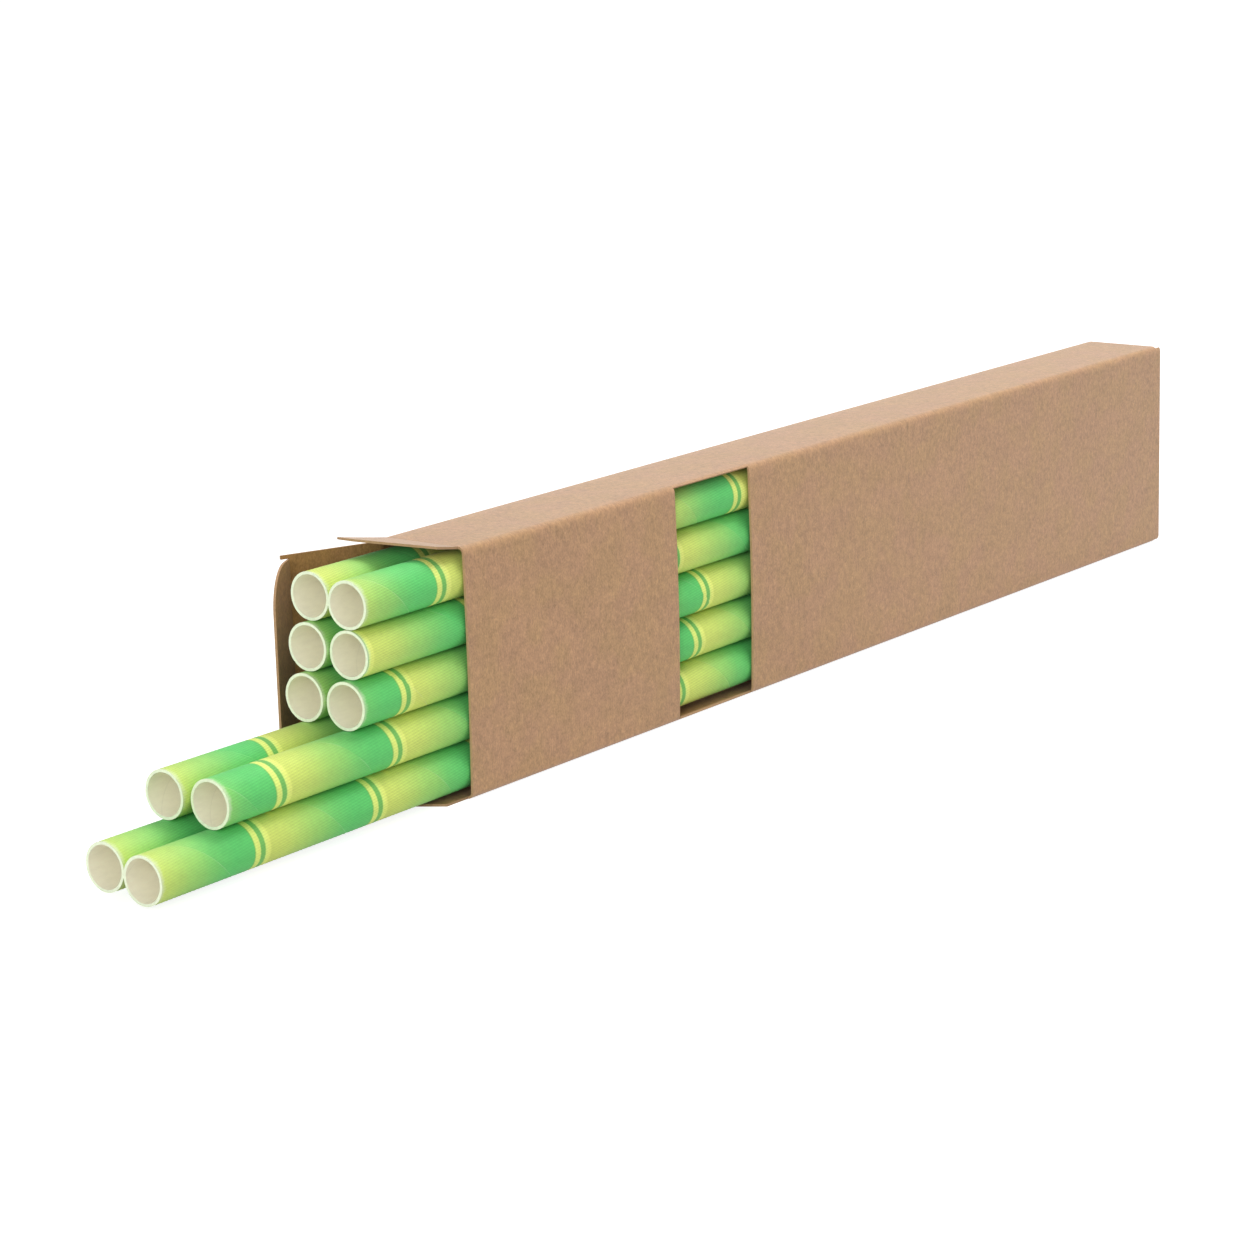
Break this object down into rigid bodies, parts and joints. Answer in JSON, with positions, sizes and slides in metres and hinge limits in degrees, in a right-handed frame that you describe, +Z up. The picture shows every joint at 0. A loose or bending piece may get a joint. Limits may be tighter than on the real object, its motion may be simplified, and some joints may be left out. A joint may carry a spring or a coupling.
{
  "type": "windowed carton of paper drinking straws",
  "caption": "Narrow kraft tuck-end carton with a full-height front window and an open end, holding bamboo-print paper drinking straws drawn partly out.",
  "frame": {"origin": "middle of the bottom panel's outer face, which rests on the table", "axes": "+X along the carton from its open mouth to its closed end, +Y from the windowed front panel to the back panel, +Z up"},
  "size_m": [0.3045, 0.0239, 0.0445],
  "materials": {
    "kraft_card": "matte uncoated kraft",
    "printed_paper": "matte printed paper with a faint sheen"
  },
  "bodies": {
    "carton_and_straws": {"carton": "kraft_card", "straw_front_1": "printed_paper", "straw_front_2": "printed_paper", "straw_front_3": "printed_paper", "straw_front_4": "printed_paper", "straw_front_5": "printed_paper", "straw_rear_1": "printed_paper", "straw_rear_2": "printed_paper", "straw_rear_3": "printed_paper", "straw_rear_4": "printed_paper", "straw_rear_5": "printed_paper"},
    "tuck_flap": {"tuck_flap": "kraft_card"},
    "tuck_tab": {"tuck_tab": "kraft_card"},
    "top_dust_flap": {"top_dust_flap": "kraft_card"},
    "bottom_dust_flap": {"bottom_dust_flap": "kraft_card"}
  },
  "joints": [
    {"name": "tuck_flap_fold", "type": "hinge", "parent": "carton_and_straws", "child": "tuck_flap", "pos_m": [-0.1174, 0.00855, 0.02138], "axis": [0, 0, -1], "range_deg": [-3, 140]},
    {"name": "tuck_tab_fold", "type": "hinge", "parent": "tuck_flap", "child": "tuck_tab", "pos_m": [-0.13287, 0.01458, 0.02138], "axis": [0, 0, -1], "range_deg": [-5, 47]},
    {"name": "top_dust_fold", "type": "hinge", "parent": "carton_and_straws", "child": "top_dust_flap", "pos_m": [-0.1166, 0, 0.04235], "axis": [0, 1, 0], "range_deg": [-11, 150]},
    {"name": "bottom_dust_fold", "type": "hinge", "parent": "carton_and_straws", "child": "bottom_dust_flap", "pos_m": [-0.1166, 0, 0], "axis": [0, -1, 0], "range_deg": [0, 150]}
  ]
}
